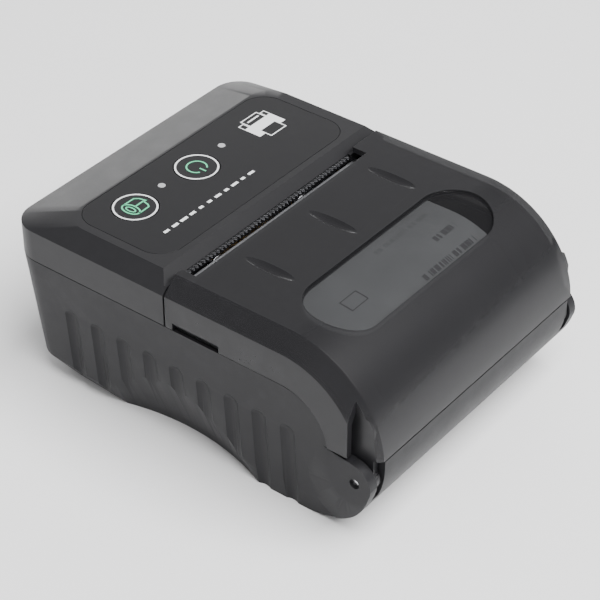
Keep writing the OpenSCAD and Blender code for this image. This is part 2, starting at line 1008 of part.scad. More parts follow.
module case_screws() {
    color([0.55, 0.55, 0.57])
        for (p = case_screw_at)
            translate([p[0], p[1], 0])
                difference() {
                    union() {
                        translate([0, 0, 0.3])
                            cylinder(r = 1.9, h = 1.3);
                        translate([0, 0, 1.5])
                            cylinder(r = 1, h = 32);
                    }
                    for (a = [0, 90])
                        rotate(a)
                            translate([0, 0, 0.5])
                                cube([2, 0.45, 0.8], center = true);
                }
}

module board_screws() {
    color([0.6, 0.6, 0.62])
        for (p = board_screw_at)
            translate([p[0], p[1], 0])
                difference() {
                    union() {
                        translate([0, 0, board_z - 1])
                            cylinder(r = 1.7, h = 1);
                        translate([0, 0, board_z - 0.1])
                            cylinder(r = 0.8, h = 5.4);
                    }
                    for (a = [0, 90])
                        rotate(a)
                            translate([0, 0, board_z - 0.8])
                                cube([1.8, 0.4, 0.8], center = true);
                }
}

module motor_screws() {
    color([0.6, 0.6, 0.62])
        for (s = [-1, 1])
            translate([plate_x0 - 0.9, pinion_c[0] + s * 5.4, pinion_c[1] + s * 5.4])
                rotate([0, 90, 0]) {
                    cylinder(r = 1.5, h = 0.9);
                    cylinder(r = 0.78, h = 2.9);
                }
}

bottom_case();
top_cover();
paper_lid();
platen_carrier();
info_label();
panel_overlay();
feed_button();
power_button();
light_pipes();
tear_bar();
print_head();
head_heat_sink();
head_springs();
mech_frame();
stepper_motor();
motor_shaft();
motor_pinion();
idler_gear();
idler_axle();
platen_roller();
platen_shaft();
platen_bushings();
platen_gear();
hinge_pins();
paper_sensor();
main_board();
key_switches();
indicator_leds();
charge_socket();
flex_socket();
battery_pack();
head_flex();
paper_bay();
case_screws();
board_screws();
motor_screws();
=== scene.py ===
"""Looks of a handheld receipt printer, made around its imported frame.

Lengths in the tables are in millimetres, unless a comment says metres.
"""

import json
import math

import bmesh
import bpy
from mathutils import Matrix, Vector


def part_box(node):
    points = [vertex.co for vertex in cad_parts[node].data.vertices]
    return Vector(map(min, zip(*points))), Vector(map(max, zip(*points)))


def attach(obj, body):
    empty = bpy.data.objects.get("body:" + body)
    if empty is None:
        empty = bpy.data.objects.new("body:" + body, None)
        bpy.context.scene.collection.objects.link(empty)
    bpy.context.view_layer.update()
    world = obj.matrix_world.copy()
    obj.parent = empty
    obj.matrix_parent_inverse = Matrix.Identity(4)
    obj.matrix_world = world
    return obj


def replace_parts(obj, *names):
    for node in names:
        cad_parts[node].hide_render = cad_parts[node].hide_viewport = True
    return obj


bl_info = {
    "name": "Receipt printer looks",
    "version": (1, 0, 0),
    "blender": (4, 5, 0),
    "location": "View3D > Sidebar > Printer",
    "description": "Builds the shells, prints, mechanism and stage of a handheld receipt printer",
    "category": "Object",
}

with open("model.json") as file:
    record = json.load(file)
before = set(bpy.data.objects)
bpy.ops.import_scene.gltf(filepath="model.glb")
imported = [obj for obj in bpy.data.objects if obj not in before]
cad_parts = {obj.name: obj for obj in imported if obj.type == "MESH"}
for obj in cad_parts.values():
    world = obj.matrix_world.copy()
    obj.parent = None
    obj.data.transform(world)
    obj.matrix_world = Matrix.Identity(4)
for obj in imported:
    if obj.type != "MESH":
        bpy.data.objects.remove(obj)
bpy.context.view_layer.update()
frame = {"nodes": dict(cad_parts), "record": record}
MM = 0.001
NODE_BODY = {n: body for body, nodes in frame["record"]["behaviour"]["bodies"].items() for n in nodes}
NODE_SLOT = {row["node"]: row["material_slot"] for row in frame["record"]["subparts"]}
SLOT_COLOUR = {row["slot"]: tuple(row["base_color"][:3]) + (1.0,) for row in frame["record"]["materials"]}
TOP_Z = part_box("panel_overlay")[1].z

# Places on the panel and on the lid, in plan.
FEED_C = (22.3, -27.9)
POWER_C = (1.75, -27.6)
PICTOGRAM_C = (-21.9, -26.9)
CAPTION_X = (-4.0, 25.0)
CAPTION_Y = -16.4
LID_ROUND_C = (26.5, 21.5)
WINDOW_C = (0.6, 28.6)
WINDOW_HALF = (28.8, 8.55)
LABEL_MARK_C = (18.2, 2.75)
LABEL_R = 22.5
# Rows on the label: middle and half height along it, start and end across it, strength.
LABEL_ROWS = (
    (3.4, 0.8, -17.8, -10.0, 0.8),
    (8.9, 0.8, -18.0, 1.4, 0.9),
    (-3.5, 0.6, -17.2, 3.0, 0.3),
)

# The pictogram about its middle: filled boxes, and lines with their widths.
PICTOGRAM_BOXES = (
    (-4.45, -2.0, 5.0, 1.15),
    (-4.45, 1.15, -2.6, 2.7),
    (3.05, 1.15, 5.0, 2.7),
    (-1.95, -3.65, 2.1, -3.2),
)
PICTOGRAM_LINES = (
    (((-4.32, -2.0), (-4.32, -3.8), (-3.0, -3.8), (-3.0, -2.0)), 0.26),
    (((3.3, -2.0), (3.3, -3.8), (4.87, -3.8), (4.87, -2.0)), 0.26),
    (((-2.7, -2.0), (-2.7, -4.75), (2.95, -4.75), (2.95, -2.0)), 0.28),
    (((-2.45, 1.15), (-2.45, 4.4), (2.9, 4.4), (2.9, 1.15)), 0.3),
)
CAPTION_DASH = 0.75
CAPTION_SEED = 4

# The symbols on the buttons, about each button's middle.
ROLL_END = (1.3, -0.1)
ROLL_END_RADII = (1.42, 2.35)
ROLL_CORE = (1.35, -0.12)
ROLL_CORE_RADII = (0.62, 1.3)
ROLL_CORE_LINE = 0.9
ROLL_LINES = (
    ((1.1, -2.5), (-2.2, -2.45), (-3.0, -1.5), (-3.35, 0.05), (-2.75, -0.15), (-0.2, -0.12)),
    ((-2.8, -0.1), (-2.45, 1.6), (-1.9, 2.27), (1.2, 2.3)),
)
POWER_RADIUS = 2.35
POWER_ARC = (122, 418)
POWER_BAR = ((0, 0.9), (0, 2.75))
ROUND_STEPS = 96
SYMBOL_STEPS = 48
CORE_STEPS = 32

# How a frame node is merged and its edges rounded.
MERGE_DISTANCE = 0.002 * MM
FLAT_ANGLE = math.radians(0.03)
SHARP_ANGLE = math.radians(32)
ROUNDING_SEGMENTS = 2

SPRING_TURNS = 5.0
SPRING_WIRE = 0.25 * MM

# Relief of a finish, and how much the lid lets through, frosted and in its window.
GRAIN_RELIEF = 0.03 * MM
LINE_RELIEF = 0.02 * MM
FROSTED_ALPHA = 0.86
WINDOW_ALPHA = 0.42

# Stage, in metres. A light has a name, a place, a size and a power in watts.
LIGHTS = (
    ("overhead", (0.0, 0.55, 1.05), (1.1, 0.9), 34.0),
    ("far_front", (-0.75, -0.95, 0.16), (1.4, 0.3), 6.5),
    ("side_fill", (1.05, -0.3, 0.12), (1.0, 0.22), 2.6),
    ("rear_fill", (0.2, 1.0, 0.3), (0.8, 0.3), 0.4),
)
LIGHT_TARGET = (0.0, 0.0, 0.02)
ROOM_STRENGTH = 0.5
FLOOR_HALF = 2.5
CAMERA_PLACE = (0.291608, 0.228868, 0.300645)
CAMERA_TARGET = (0.0048, 0.0045, 0.02447)
CAMERA_LENS = 122.34
CAMERA_NEAR = 0.01


# ---------- settings a user would change ----------


class PrinterSizes(bpy.types.PropertyGroup):
    shell_round: bpy.props.FloatProperty(
        name="Shell rounding",
        description="Radius of the rounded edges of the case, cover and lid",
        default=0.28 * MM,
        min=0.05 * MM,
        max=0.6 * MM,
        unit="LENGTH",
        precision=5,
    )
    ring_radius: bpy.props.FloatProperty(
        name="Ring radius",
        description="Middle radius of the printed ring on a button",
        default=4.9 * MM,
        unit="LENGTH",
        precision=5,
    )
    ring_width: bpy.props.FloatProperty(
        name="Ring width",
        description="Width of the printed ring",
        default=0.42 * MM,
        unit="LENGTH",
        precision=5,
    )
    symbol_width: bpy.props.FloatProperty(
        name="Symbol line",
        description="Width of the lines of the button symbols",
        default=0.38 * MM,
        unit="LENGTH",
        precision=5,
    )
    ink_height: bpy.props.FloatProperty(
        name="Ink height",
        description="How far a print stands above the film",
        default=0.025 * MM,
        unit="LENGTH",
        precision=6,
    )
    caption_marks: bpy.props.IntProperty(
        name="Caption marks",
        description="Number of plain dashes in the row under the buttons",
        default=11,
        min=2,
        max=30,
    )


class PrinterColours(bpy.types.PropertyGroup):
    case: bpy.props.FloatVectorProperty(
        name="Case",
        description="Colour of the moulded case",
        subtype="COLOR",
        size=4,
        min=0,
        max=1,
        default=(0.012, 0.0118, 0.0133, 1.0),
    )
    smoke: bpy.props.FloatVectorProperty(
        name="Lid",
        description="Colour of the smoked lid",
        subtype="COLOR",
        size=4,
        min=0,
        max=1,
        default=(0.012, 0.0118, 0.0133, 1.0),
    )
    film: bpy.props.FloatVectorProperty(
        name="Panel film",
        description="Colour of the panel overlay",
        subtype="COLOR",
        size=4,
        min=0,
        max=1,
        default=(0.0095, 0.0094, 0.0106, 1.0),
    )
    ink: bpy.props.FloatVectorProperty(
        name="White ink",
        description="Colour of the rings, pictogram and caption marks",
        subtype="COLOR",
        size=4,
        min=0,
        max=1,
        default=(0.82, 0.83, 0.84, 1.0),
    )
    symbol: bpy.props.FloatVectorProperty(
        name="Symbol ink",
        description="Colour of the two button symbols",
        subtype="COLOR",
        size=4,
        min=0,
        max=1,
        default=(0.1, 0.56, 0.3, 1.0),
    )
    floor: bpy.props.FloatVectorProperty(
        name="Floor",
        description="Colour of the pale floor",
        subtype="COLOR",
        size=4,
        min=0,
        max=1,
        default=(0.94, 0.94, 0.945, 1.0),
    )


# ---------- shader node groups ----------


def new_group(name, inputs, outputs):
    """An empty shader node group with named sockets."""
    tree = bpy.data.node_groups.new(name, "ShaderNodeTree")
    for label, kind, default in inputs:
        socket = tree.interface.new_socket(label, in_out="INPUT", socket_type="NodeSocket" + kind)
        socket.default_value = default
    for label, kind in outputs:
        tree.interface.new_socket(label, in_out="OUTPUT", socket_type="NodeSocket" + kind)
    return tree, tree.nodes.new("NodeGroupInput"), tree.nodes.new("NodeGroupOutput")


def node(tree, kind, settings=(), **sockets):
    """A node with its settings, and its sockets set or linked by name, or by number as i0, i1 and so on."""
    made = tree.nodes.new(kind)
    for key, value in dict(settings).items():
        setattr(made, key, value)
    for key, value in sockets.items():
        numbered = key[0] == "i" and key[1:].isdigit()
        socket = made.inputs[int(key[1:]) if numbered else key.replace("_", " ")]
        if isinstance(value, bpy.types.NodeSocket):
            tree.links.new(value, socket)
        else:
            socket.default_value = value
    return made


def math_node(tree, operation, *values):
    inputs = {f"i{i}": value for i, value in enumerate(values)}
    return node(tree, "ShaderNodeMath", {"operation": operation}, **inputs).outputs[0]


def vector_node(tree, operation, *values):
    inputs = {f"i{i}": value for i, value in enumerate(values)}
    return node(tree, "ShaderNodeVectorMath", {"operation": operation}, **inputs)


def scaled(tree, vector, factor):
    """A colour or vector times a number."""
    made = vector_node(tree, "SCALE", vector)
    if isinstance(factor, bpy.types.NodeSocket):
        tree.links.new(factor, made.inputs["Scale"])
    else:
        made.inputs["Scale"].default_value = factor
    return made.outputs[0]


def mix_colour(tree, factor, a, b):
    return node(tree, "ShaderNodeMix", {"data_type": "RGBA"}, i0=factor, i6=a, i7=b).outputs[2]


def noise(tree, vector, scale, detail=2.0, roughness=0.5):
    sockets = {"Vector": vector, "Scale": scale, "Detail": detail, "Roughness": roughness}
    return node(tree, "ShaderNodeTexNoise", **sockets).outputs[0]


def span(tree, value, low, high, to_low=0.0, to_high=1.0):
    """Value mapped from low..high to to_low..to_high, and held there."""
    limits = {"i1": low, "i2": high, "i3": to_low, "i4": to_high}
    return node(tree, "ShaderNodeMapRange", {"clamp": True}, i0=value, **limits).outputs[0]


def object_coords(tree):
    return tree.nodes.new("ShaderNodeTexCoord").outputs["Object"]


def edge_mask(tree, amount):
    """Where a worn or lighter edge shows: sharp outer edges, broken up by noise."""
    sharp = span(tree, tree.nodes.new("ShaderNodeNewGeometry").outputs["Pointiness"], 0.51, 0.58)
    patches = span(tree, noise(tree, object_coords(tree), 420.0, 3.0), 0.35, 0.7)
    return math_node(tree, "MULTIPLY", math_node(tree, "MULTIPLY", sharp, patches), amount)


def varied_roughness(tree, gin, pattern):
    """A group's roughness, raised and lowered by its spread where the pattern is above or below a half."""
    swing = math_node(tree, "SUBTRACT", pattern, 0.5)
    return math_node(tree, "MULTIPLY_ADD", swing, gin.outputs["Roughness Spread"], gin.outputs["Roughness"])


def moulded_group():
    """Spark-textured moulded plastic: fine grain, faint handling marks and lighter edges."""
    tree, gin, gout = new_group(
        "Moulded grain",
        [
            ("Color", "Color", (0.06, 0.06, 0.065, 1)),
            ("Grain Scale", "Float", 3200.0),
            ("Roughness", "Float", 0.45),
            ("Roughness Spread", "Float", 0.12),
            ("Mottle", "Float", 0.12),
            ("Wear", "Float", 0.5),
        ],
        [("Color", "Color"), ("Roughness", "Float"), ("Height", "Float")],
    )
    coords = object_coords(tree)
    fine = noise(tree, coords, gin.outputs["Grain Scale"], 3.0, 0.6)
    broad = noise(tree, coords, 38.0, 4.0, 0.55)
    handled = noise(tree, coords, 140.0, 3.0, 0.6)
    wear = edge_mask(tree, gin.outputs["Wear"])
    speckle = math_node(tree, "ADD", broad, math_node(tree, "MULTIPLY", fine, 0.6))
    tint = span(tree, speckle, 0.4, 1.2, -1.0, 1.0)
    gain = math_node(tree, "MULTIPLY_ADD", tint, gin.outputs["Mottle"], 1.0)
    mottled = scaled(tree, gin.outputs["Color"], gain)
    pale = scaled(tree, gin.outputs["Color"], 1.9)
    tree.links.new(mix_colour(tree, wear, mottled, pale), gout.inputs["Color"])
    rough = varied_roughness(tree, gin, handled)
    rough = math_node(tree, "MULTIPLY_ADD", math_node(tree, "SUBTRACT", fine, 0.5), 0.1, rough)
    tree.links.new(math_node(tree, "MULTIPLY_ADD", wear, -0.1, rough), gout.inputs["Roughness"])
    tree.links.new(fine, gout.inputs["Height"])
    return tree


def metal_group():
    """Drawn or ground metal: fine lines along one axis, a little tarnish and bright edges."""
    tree, gin, gout = new_group(
        "Drawn metal",
        [
            ("Color", "Color", (0.5, 0.5, 0.52, 1)),
            ("Line Scale", "Vector", (60.0, 4000.0, 4000.0)),
            ("Roughness", "Float", 0.3),
            ("Roughness Spread", "Float", 0.2),
            ("Tarnish", "Float", 0.3),
            ("Wear", "Float", 0.4),
        ],
        [("Color", "Color"), ("Roughness", "Float"), ("Height", "Float")],
    )
    coords = object_coords(tree)
    stretched = vector_node(tree, "MULTIPLY", coords, gin.outputs["Line Scale"]).outputs[0]
    lines = noise(tree, stretched, 1.0, 2.0)
    clouds = noise(tree, coords, 160.0, 4.0, 0.6)
    dull = scaled(tree, gin.outputs["Color"], 0.55)
    tarnish = math_node(tree, "MULTIPLY", span(tree, clouds, 0.4, 0.75), gin.outputs["Tarnish"])
    coloured = mix_colour(tree, tarnish, gin.outputs["Color"], dull)
    bright = scaled(tree, gin.outputs["Color"], 1.3)
    wear = edge_mask(tree, gin.outputs["Wear"])
    tree.links.new(mix_colour(tree, wear, coloured, bright), gout.inputs["Color"])
    rough = varied_roughness(tree, gin, lines)
    tree.links.new(math_node(tree, "MULTIPLY_ADD", tarnish, 0.25, rough), gout.inputs["Roughness"])
    tree.links.new(lines, gout.inputs["Height"])
    return tree


def window_group():
    """A mask that is 1 inside the lid's round-ended sight window, seen in plan."""
    tree, gin, gout = new_group(
        "Sight window",
        [
            ("Center", "Vector", (WINDOW_C[0] * MM, WINDOW_C[1] * MM, 0.0)),
            ("Half Length", "Float", WINDOW_HALF[0] * MM),
            ("Half Width", "Float", WINDOW_HALF[1] * MM),
            ("Edge", "Float", 0.15 * MM),
        ],
        [("Mask", "Float")],
    )
    offset = vector_node(tree, "SUBTRACT", object_coords(tree), gin.outputs["Center"])
    parts = node(tree, "ShaderNodeSeparateXYZ", Vector=offset.outputs[0])
    straight = math_node(tree, "SUBTRACT", gin.outputs["Half Length"], gin.outputs["Half Width"])
    beyond = math_node(tree, "SUBTRACT", math_node(tree, "ABSOLUTE", parts.outputs[0]), straight)
    past = math_node(tree, "MAXIMUM", beyond, 0.0)
    plan = node(tree, "ShaderNodeCombineXYZ", X=past, Y=parts.outputs[1])
    reach = vector_node(tree, "LENGTH", plan.outputs[0])
    inside = math_node(tree, "SUBTRACT", gin.outputs["Half Width"], reach.outputs["Value"])
    height = node(tree, "ShaderNodeSeparateXYZ", Vector=object_coords(tree)).outputs[2]
    above = span(tree, height, 30.0 * MM, 30.5 * MM)
    flat = span(tree, math_node(tree, "DIVIDE", inside, gin.outputs["Edge"]), -1.0, 1.0)
    tree.links.new(math_node(tree, "MULTIPLY", flat, above), gout.inputs["Mask"])
    return tree


def label_group():
    """Plain dashes in rows and one square outline, on a map in metres, and the paper's faint clouds."""
    tree, gin, gout = new_group(
        "Label print",
        [
            ("Paper", "Color", (0.33, 0.34, 0.35, 1)),
            ("Ink", "Color", (0.12, 0.12, 0.13, 1)),
            ("Mark Center", "Vector", (0.0, 0.0, 0.0)),
            ("Mark Half Size", "Float", 2.7 * MM),
            ("Line", "Float", 0.36 * MM),
        ],
        [("Color", "Color"), ("Roughness", "Float")],
    )
    flat_map = node(tree, "ShaderNodeUVMap", {"uv_map": "label_map"}).outputs[0]
    parts = node(tree, "ShaderNodeSeparateXYZ", Vector=flat_map)
    broken = node(
        tree, "ShaderNodeTexNoise", {"noise_dimensions": "1D"}, W=parts.outputs[0], Scale=900.0, Detail=1.0
    )
    dashes = span(tree, broken.outputs[0], 0.46, 0.5)
    rows = 0.0
    for middle, half, start, end, strength in LABEL_ROWS:
        gap = math_node(tree, "ABSOLUTE", math_node(tree, "SUBTRACT", parts.outputs[1], middle * MM))
        band = span(tree, gap, (half + 0.1) * MM, (half - 0.1) * MM)
        from_middle = math_node(tree, "SUBTRACT", parts.outputs[0], (start + end) / 2 * MM)
        reach = math_node(tree, "ABSOLUTE", from_middle)
        half_length = (end - start) / 2 * MM
        band = math_node(tree, "MULTIPLY", band, span(tree, reach, half_length, half_length - 0.1 * MM))
        rows = math_node(tree, "MAXIMUM", rows, math_node(tree, "MULTIPLY", band, strength))
    away = vector_node(tree, "SUBTRACT", flat_map, gin.outputs["Mark Center"])
    far = vector_node(tree, "ABSOLUTE", away.outputs[0])
    sides = node(tree, "ShaderNodeSeparateXYZ", Vector=far.outputs[0])
    ring = math_node(tree, "MAXIMUM", sides.outputs[0], math_node(tree, "MULTIPLY", sides.outputs[1], 1.6))
    ring = math_node(tree, "ABSOLUTE", math_node(tree, "SUBTRACT", ring, gin.outputs["Mark Half Size"]))
    ring = math_node(tree, "DIVIDE", ring, gin.outputs["Line"])
    printed = math_node(tree, "MULTIPLY", dashes, rows)
    marks = math_node(tree, "MAXIMUM", printed, span(tree, ring, 0.6, 0.4))
    clouds = noise(tree, flat_map, 90.0, 3.0)
    paper = scaled(tree, gin.outputs["Paper"], span(tree, clouds, 0.3, 0.7, 0.92, 1.06))
    tree.links.new(mix_colour(tree, marks, paper, gin.outputs["Ink"]), gout.inputs["Color"])
    tree.links.new(span(tree, clouds, 0.3, 0.7, 0.4, 0.55), gout.inputs["Roughness"])
    return tree


GROUPS = {}
GROUP_MAKERS = {
    "moulded": moulded_group,
    "metal": metal_group,
    "window": window_group,
    "label": label_group,
}


def place_group(tree, kind, **values):
    """The shared group of that kind, placed in a material with its own values."""
    if kind not in GROUPS:
        GROUPS[kind] = GROUP_MAKERS[kind]()
    placed = tree.nodes.new("ShaderNodeGroup")
    placed.node_tree = GROUPS[kind]
    for key, value in values.items():
        placed.inputs[key.replace("_", " ")].default_value = value
    return placed


# ---------- materials ----------


def new_material(name):
    material = bpy.data.materials.new(name)
    material.use_nodes = True
    return material, material.node_tree, material.node_tree.nodes["Principled BSDF"]


def surface_from(tree, shader, group, bump, distance):
    """Links a group's colour, roughness and height to the shader."""
    tree.links.new(group.outputs["Color"], shader.inputs["Base Color"])
    tree.links.new(group.outputs["Roughness"], shader.inputs["Roughness"])
    relief = node(tree, "ShaderNodeBump", Strength=bump, Distance=distance, Height=group.outputs["Height"])
    tree.links.new(relief.outputs[0], shader.inputs["Normal"])


def moulded(
    name, colour, grain=3200.0, rough=0.45, spread=0.12, mottle=0.12, wear=0.5, bump=0.35, **sockets
):
    """A moulded plastic, film, ink or rubber; further values go to the shader's own sockets."""
    material, tree, shader = new_material(name)
    group = place_group(
        tree,
        "moulded",
        Color=colour,
        Grain_Scale=grain,
        Roughness=rough,
        Roughness_Spread=spread,
        Mottle=mottle,
        Wear=wear,
    )
    surface_from(tree, shader, group, bump, GRAIN_RELIEF)
    for key, value in sockets.items():
        shader.inputs[key].default_value = value
    return material


def metal(name, colour, lines, rough=0.3, spread=0.2, tarnish=0.3, wear=0.4, bump=0.15):
    """A drawn or ground metal, with the scale of its lines along each axis."""
    material, tree, shader = new_material(name)
    group = place_group(
        tree,
        "metal",
        Color=colour,
        Line_Scale=lines,
        Roughness=rough,
        Roughness_Spread=spread,
        Tarnish=tarnish,
        Wear=wear,
    )
    surface_from(tree, shader, group, bump, LINE_RELIEF)
    shader.inputs["Metallic"].default_value = 1.0
    return material


def smoked_lid():
    """Smoked plastic, frosted all over but for the polished sight window."""
    colour = bpy.context.scene.printer_colours.smoke
    material, tree, shader = new_material("smoked_lid")
    group = place_group(
        tree,
        "moulded",
        Color=colour,
        Grain_Scale=2600.0,
        Roughness=0.33,
        Roughness_Spread=0.05,
        Mottle=0.05,
        Wear=0.5,
    )
    frosted = group.outputs["Roughness"]
    mask = place_group(tree, "window").outputs["Mask"]
    polished = math_node(tree, "MULTIPLY", span(tree, frosted, 0.3, 0.6, 0.8, 1.2), 0.09)
    rough = node(tree, "ShaderNodeMix", {"data_type": "FLOAT"}, i0=mask, i2=frosted, i3=polished)
    alpha = span(tree, mask, 0.0, 1.0, FROSTED_ALPHA, WINDOW_ALPHA)
    grain = math_node(tree, "MULTIPLY", group.outputs["Height"], span(tree, mask, 0.0, 1.0, 0.25, 0.0))
    relief = node(tree, "ShaderNodeBump", Distance=LINE_RELIEF, Height=grain)
    tree.links.new(group.outputs["Color"], shader.inputs["Base Color"])
    tree.links.new(rough.outputs[0], shader.inputs["Roughness"])
    tree.links.new(alpha, shader.inputs["Alpha"])
    tree.links.new(relief.outputs[0], shader.inputs["Normal"])
    shader.inputs["Specular IOR Level"].default_value = 0.36
    return material


def label_paper():
    material, tree, shader = new_material("label_paper")
    centre = (LABEL_MARK_C[0] * MM, LABEL_MARK_C[1] * MM, 0.0)
    group = place_group(tree, "label", Paper=SLOT_COLOUR["label_film"], Mark_Center=centre)
    tree.links.new(group.outputs["Color"], shader.inputs["Base Color"])
    tree.links.new(group.outputs["Roughness"], shader.inputs["Roughness"])
    return material


def board_laminate():
    """Green solder mask with faint copper tracks under it."""
    material, tree, shader = new_material("board_laminate")
    group = place_group(tree, "moulded", Color=SLOT_COLOUR["board_laminate"], Roughness=0.28, Wear=0.3)
    coords = object_coords(tree)
    grid = {"distance": "MANHATTAN", "feature": "DISTANCE_TO_EDGE"}
    cells = node(tree, "ShaderNodeTexVoronoi", grid, Vector=coords, Scale=420.0)
    tracks = span(tree, cells.outputs[0], 0.05, 0.07, 1.0, 0.0)
    colour = mix_colour(tree, tracks, group.outputs["Color"], (0.07, 0.3, 0.12, 1.0))
    tree.links.new(colour, shader.inputs["Base Color"])
    tree.links.new(group.outputs["Roughness"], shader.inputs["Roughness"])
    relief = node(tree, "ShaderNodeBump", Strength=0.3, Distance=GRAIN_RELIEF, Height=tracks)
    tree.links.new(relief.outputs[0], shader.inputs["Normal"])
    return material


# A moulded finish: grain, roughness, its spread, mottle, wear and bump.
# Values left out at the end keep their defaults.
MOULDED_FINISHES = {
    "clear_plastic": (2400.0, 0.3, 0.1, 0.1, 0.0, 0.1),
    "white_ink": (6000.0, 0.45, 0.1, 0.06, 0.0, 0.2),
    "symbol_ink": (6000.0, 0.45, 0.1, 0.1, 0.0, 0.2),
    "panel_film": (5200.0, 0.4, 0.06, 0.06, 0.2, 0.12),
    "button_film": (5200.0, 0.42, 0.06, 0.06, 0.3, 0.15),
    "case_plastic": (3200.0, 0.48, 0.12, 0.06, 0.3, 0.4),
    "cover_plastic": (3200.0, 0.44, 0.12, 0.06, 0.3, 0.35),
    "carrier_plastic": (2600.0, 0.5, 0.1, 0.1, 0.3, 0.12),
    "ceramic": (1800.0, 0.22, 0.1, 0.06, 0.1, 0.1),
    "acetal": (1500.0, 0.42, 0.1, 0.06, 0.1, 0.1),
    "platen_rubber": (4200.0, 0.62, 0.1, 0.25, 0.2, 0.6),
    "switch_plastic": (2400.0, 0.48, 0.1, 0.12, 0.3),
    "led_plastic": (900.0, 0.18, 0.1, 0.05, 0.0, 0.05),
    "nylon": (2000.0, 0.5, 0.1, 0.08, 0.2, 0.2),
    "battery_wrap": (700.0, 0.25, 0.15, 0.15, 0.6, 0.3),
    "flex_film": (900.0, 0.24, 0.12, 0.18, 0.2, 0.1),
}
# A metal finish: scale of its lines, roughness, its spread, tarnish and wear.
METAL_FINISHES = {
    "blade_plastic": ((60, 3000, 3000), 0.38, 0.2, 0.3, 0.9),
    "alloy": ((50, 5000, 5000), 0.36, 0.25, 0.2),
    "spring_steel": ((900, 900, 900), 0.25, 0.15, 0.2),
    "plated_steel": ((700, 500, 700), 0.34, 0.22, 0.4),
    "shaft_steel": ((4000, 80, 80), 0.22, 0.15, 0.15),
    "brass": ((3000, 300, 300), 0.28, 0.2, 0.35),
    "socket_steel": ((60, 3500, 3500), 0.26, 0.2, 0.2),
}
# Values that are the same all over a surface, set on the shader's own sockets.
SHADER_VALUES = {
    "case_plastic": {"Specular IOR Level": 0.22},
    "cover_plastic": {"Specular IOR Level": 0.32},
    "panel_film": {"Specular IOR Level": 0.3},
    "button_film": {"Specular IOR Level": 0.3},
    "ceramic": {"Coat Weight": 0.4},
    "acetal": {"Subsurface Weight": 0.05},
    "flex_film": {"Coat Weight": 0.3},
}
BLADE_COLOUR = (0.1, 0.1, 0.105, 1)
LIGHT_PIPE_COLOUR = (0.42, 0.42, 0.43, 1)
OWN_FINISHES = {
    "smoked_plastic": smoked_lid,
    "label_film": label_paper,
    "board_laminate": board_laminate,
}


def finish_colour(name):
    """The colour of a finish: a setting, a colour of its own, or the record's."""
    colours = bpy.context.scene.printer_colours
    chosen = {
        "case_plastic": colours.case,
        "cover_plastic": colours.case,
        "panel_film": colours.film,
        "button_film": colours.film,
        "white_ink": colours.ink,
        "symbol_ink": colours.symbol,
        "clear_plastic": LIGHT_PIPE_COLOUR,
        "blade_plastic": BLADE_COLOUR,
    }
    return chosen[name] if name in chosen else SLOT_COLOUR[name]


MATERIALS = {}


def finish_of(name):
    """The material of that name, made when it is first needed."""
    if name not in MATERIALS:
        if name in OWN_FINISHES:
            MATERIALS[name] = OWN_FINISHES[name]()
        elif name in METAL_FINISHES:
            MATERIALS[name] = metal(name, finish_colour(name), *METAL_FINISHES[name])
        else:
            own = SHADER_VALUES.get(name, {})
            MATERIALS[name] = moulded(name, finish_colour(name), *MOULDED_FINISHES[name], **own)
    return MATERIALS[name]


# ---------- pieces ----------


def plain_mesh(obj):
    """Turns the object's modifiers into its mesh."""
    bpy.context.view_layer.update()
    result = bpy.data.meshes.new_from_object(obj.evaluated_get(bpy.context.evaluated_depsgraph_get()))
    obj.modifiers.clear()
    obj.data = result
    return obj


def link_piece(name, mesh, body, finish):
    obj = bpy.data.objects.new(name, mesh)
    bpy.context.scene.collection.objects.link(obj)
    mesh.materials.clear()
    mesh.materials.append(finish_of(finish))
    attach(obj, body)
    return obj


def rounded_piece(name, radius):
    """A merged copy of a frame node with its sharp edges rounded, shown in the node's place."""
    mesh = frame["nodes"][name].data.copy()
    work = bmesh.new()
    work.from_mesh(mesh)
    bmesh.ops.remove_doubles(work, verts=work.verts, dist=MERGE_DISTANCE)
    bmesh.ops.dissolve_limit(work, angle_limit=FLAT_ANGLE, verts=work.verts, edges=work.edges)
    for face in work.faces:
        face.smooth = True
    work.to_mesh(mesh)
    work.free()
    if "custom_normal" in mesh.attributes:
        mesh.attributes.remove(mesh.attributes["custom_normal"])
    slot = NODE_SLOT[name]
    obj = link_piece(name + "_piece", mesh, NODE_BODY[name], slot)
    if radius:
        bevel = obj.modifiers.new("Rounding", "BEVEL")
        bevel.width = radius
        bevel.segments = ROUNDING_SEGMENTS
        bevel.limit_method = "ANGLE"
        bevel.angle_limit = SHARP_ANGLE
    obj.modifiers.new("Even shading", "WEIGHTED_NORMAL")
    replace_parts(plain_mesh(obj), name)
    return obj


def rounded_pieces(rows):
    """Rows of node name and edge radius in millimetres."""
    return [rounded_piece(name, radius * MM) for name, radius in rows]


def prism(work, outline, z0, z1):
    """A flat closed solid with that outline, given in millimetres, between two heights in metres."""
    low = [work.verts.new((x * MM, y * MM, z0)) for x, y in outline]
    high = [work.verts.new((x * MM, y * MM, z1)) for x, y in outline]
    work.faces.new(low[::-1])
    work.faces.new(high)
    count = len(outline)
    for i in range(count):
        k = (i + 1) % count
        work.faces.new((low[i], low[k], high[k], high[i]))


